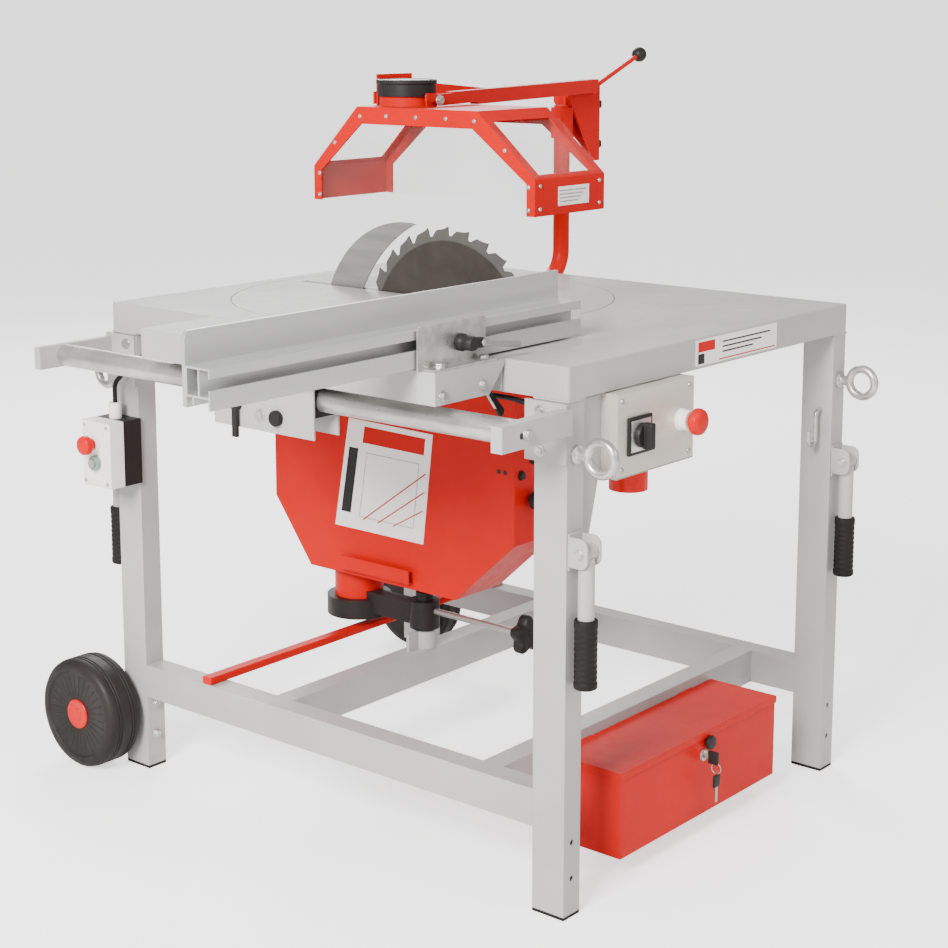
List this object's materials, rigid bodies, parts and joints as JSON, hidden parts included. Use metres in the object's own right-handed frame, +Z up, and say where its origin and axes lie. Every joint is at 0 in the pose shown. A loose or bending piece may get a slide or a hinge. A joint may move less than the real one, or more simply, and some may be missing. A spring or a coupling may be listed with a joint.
{
  "type": "table saw",
  "caption": "Building-site table saw with a swivelling blade turntable, overhead blade hood on a swing arm, crosscut carriage with fence, toolbox and folding carry handles",
  "frame": {"origin": "floor level under the centre of the bounding box", "axes": "+Z up out of the table; +X to the operator's right, along the machine's longest side; +Y in the feed direction"},
  "size_m": [1.664, 1.2204, 1.283],
  "materials": {
    "grey_paint": "smooth light grey paint",
    "red_paint": "bright red paint",
    "black_paint": "satin black paint",
    "galvanised": "streaky galvanised steel",
    "stainless": "brushed stainless sheet",
    "machined": "ground steel",
    "blade_steel": "dark coated saw steel",
    "aluminium": "mill-finish aluminium",
    "black_plastic": "matt black plastic",
    "black_rubber": "black rubber",
    "tyre": "black solid tyre",
    "red_plastic": "red moulded plastic",
    "cream_plastic": "off-white moulded plastic",
    "green_plastic": "pale grey-green plastic",
    "clear_pane": "slightly clouded clear sheet",
    "motor_paint": "dark grey motor paint"
  },
  "bodies": {
    "frame": {"table_top": "grey_paint", "legs": "grey_paint", "leg_feet": "black_rubber", "rails": "grey_paint", "tie_bar": "red_paint", "column_socket": "grey_paint", "swivel_column": "black_paint", "hood_post": "red_paint", "guide_brackets": "grey_paint", "guide_tube": "galvanised", "switch_box": "stainless", "power_inlet": "red_plastic", "panel_plates": "cream_plastic", "remote_base": "black_plastic", "remote_cover": "cream_plastic", "cable_gland": "cream_plastic", "control_cable": "black_rubber", "toolbox": "red_paint", "handle_brackets": "grey_paint", "eye_bolts": "galvanised", "cable_hook": "galvanised", "wheel_brackets": "grey_paint", "frame_bolts": "galvanised"},
    "turntable": {"turntable_disc": "grey_paint", "blade_housing": "red_paint", "housing_cover": "red_paint", "column_clamp": "black_paint"},
    "swivel_clamp": {"clamp_knob": "black_plastic"},
    "lift_hand_knob": {"lift_knob": "black_plastic"},
    "saw_lift": {"lift_plate": "machined", "motor": "motor_paint", "riving_knife": "machined", "drive_belt": "black_rubber"},
    "rotor": {"motor_rotor": "motor_paint"},
    "blade": {"saw_blade": "blade_steel", "blade_arbor": "machined"},
    "carriage": {"crosscut_carriage": "grey_paint", "carriage_glides": "black_plastic", "fence_bracket": "galvanised"},
    "carriage_catch": {"carriage_lever": "black_plastic"},
    "fence_rail": {"fence": "aluminium"},
    "fence_clamp": {"fence_lever": "black_plastic"},
    "hood_swivel": {"hood_bracket": "red_paint"},
    "hood_lift_arms": {"hood_arms": "red_paint", "lever_ball": "black_plastic"},
    "hood": {"hood_frame": "red_paint", "hood_panes": "clear_pane"},
    "port_cap": {"dust_cap": "black_plastic"},
    "wheel_l": {"wheel_left": "tyre"},
    "wheel_r": {"wheel_right": "tyre"},
    "handle_fl": {"handle_front_left": "black_rubber"},
    "handle_bl": {"handle_back_left": "black_rubber"},
    "handle_fr": {"handle_front_right": "black_rubber"},
    "handle_br": {"handle_back_right": "black_rubber"},
    "lid": {"toolbox_lid": "red_paint"},
    "key": {"lock_key": "machined"},
    "rotary": {"switch_knob": "black_plastic"},
    "stop_button": {"main_estop": "red_plastic"},
    "remote_stop": {"remote_estop": "red_plastic"},
    "remote_go": {"remote_start": "green_plastic"}
  },
  "joints": [
    {"name": "turntable_swivel", "type": "hinge", "parent": "frame", "child": "turntable", "pos_m": [0.126, 0.0955, 0.848], "axis": [0, 0, 1], "range_deg": [-45, 45]},
    {"name": "swivel_clamp_turn", "type": "hinge", "parent": "turntable", "child": "swivel_clamp", "pos_m": [0.126, -0.0345, 0.268], "axis": [0, 1, 0], "range_deg": [-90, 90]},
    {"name": "lift_knob_turn", "type": "hinge", "parent": "turntable", "child": "lift_hand_knob", "pos_m": [0.111, -0.1745, 0.52], "axis": [0, 1, 0], "range_deg": [-180, 180]},
    {"name": "saw_height", "type": "slide", "parent": "turntable", "child": "saw_lift", "axis": [0, 0, 1], "range_m": [-0.1, 0]},
    {"name": "motor_spin", "type": "hinge", "parent": "saw_lift", "child": "rotor", "pos_m": [0.323, 0.0655, 0.622], "axis": [1, 0, 0], "continuous": true},
    {"name": "blade_spin", "type": "hinge", "parent": "saw_lift", "child": "blade", "pos_m": [0.135, 0.0435, 0.778], "axis": [1, 0, 0], "continuous": true},
    {"name": "carriage_travel", "type": "slide", "parent": "frame", "child": "carriage", "axis": [0, 1, 0], "range_m": [-0.04, 0.4]},
    {"name": "carriage_catch_turn", "type": "hinge", "parent": "carriage", "child": "carriage_catch", "pos_m": [-0.415, 0.0105, 0.746], "axis": [1, 0, 0], "range_deg": [0, 90]},
    {"name": "fence_slide", "type": "slide", "parent": "carriage", "child": "fence_rail", "axis": [1, 0, 0], "range_m": [-0.15, 0.16]},
    {"name": "fence_clamp_turn", "type": "hinge", "parent": "carriage", "child": "fence_clamp", "pos_m": [-0.353, -0.4095, 0.882], "axis": [0, -1, 0], "range_deg": [0, 150]},
    {"name": "hood_swing", "type": "hinge", "parent": "frame", "child": "hood_swivel", "pos_m": [0.603, 0.1485, 1.14], "axis": [0, 0, 1], "range_deg": [-5, 80]},
    {"name": "hood_lift", "type": "hinge", "parent": "hood_swivel", "child": "hood_lift_arms", "pos_m": [0.653, 0.1555, 1.2], "axis": [0, 1, 0], "range_deg": [-9, 35]},
    {"name": "hood_level", "type": "hinge", "parent": "hood_lift_arms", "child": "hood", "pos_m": [0.123, 0.1255, 1.2], "axis": [0, 1, 0], "range_deg": [0, 9]},
    {"name": "port_cap_turn", "type": "hinge", "parent": "hood", "child": "port_cap", "pos_m": [0.123, 0.1295, 1.206], "axis": [0, 0, 1], "range_deg": [-90, 90]},
    {"name": "wheel_left_spin", "type": "hinge", "parent": "frame", "child": "wheel_l", "pos_m": [-0.321, 0.5105, 0.102], "axis": [1, 0, 0], "continuous": true},
    {"name": "wheel_right_spin", "type": "hinge", "parent": "frame", "child": "wheel_r", "pos_m": [0.577, 0.5105, 0.102], "axis": [1, 0, 0], "continuous": true},
    {"name": "handle_front_left_fold", "type": "hinge", "parent": "frame", "child": "handle_fl", "pos_m": [-0.2555, -0.555, 0.575], "axis": [-1, 0, 0], "range_deg": [0, 90]},
    {"name": "handle_back_left_fold", "type": "hinge", "parent": "frame", "child": "handle_bl", "pos_m": [-0.2555, 0.491, 0.575], "axis": [1, 0, 0], "range_deg": [0, 90]},
    {"name": "handle_front_right_fold", "type": "hinge", "parent": "frame", "child": "handle_fr", "pos_m": [0.5115, -0.555, 0.575], "axis": [-1, 0, 0], "range_deg": [0, 90]},
    {"name": "handle_back_right_fold", "type": "hinge", "parent": "frame", "child": "handle_br", "pos_m": [0.5115, 0.491, 0.575], "axis": [1, 0, 0], "range_deg": [0, 90]},
    {"name": "toolbox_lid_hinge", "type": "hinge", "parent": "frame", "child": "lid", "pos_m": [0.119, -0.386, 0.18], "axis": [-1, 0, 0], "range_deg": [0, 85]},
    {"name": "lock_key_turn", "type": "hinge", "parent": "frame", "child": "key", "pos_m": [0.123, -0.5245, 0.14], "axis": [0, 1, 0], "range_deg": [0, 90]},
    {"name": "rotary_switch_turn", "type": "hinge", "parent": "frame", "child": "rotary", "pos_m": [-0.128, -0.5645, 0.73], "axis": [0, 1, 0], "range_deg": [0, 90]},
    {"name": "main_stop_press", "type": "slide", "parent": "frame", "child": "stop_button", "axis": [0, 1, 0], "range_m": [0, 0.005], "stiffness_N_per_m": 600},
    {"name": "remote_stop_press", "type": "slide", "parent": "frame", "child": "remote_stop", "axis": [1, 0, 0], "range_m": [0, 0.005], "stiffness_N_per_m": 600},
    {"name": "remote_start_press", "type": "slide", "parent": "frame", "child": "remote_go", "axis": [1, 0, 0], "range_m": [0, 0.004], "stiffness_N_per_m": 500}
  ],
  "couplings": [
    {"joint": "blade_spin", "follows": "motor_spin", "ratio": 1.105}
  ]
}
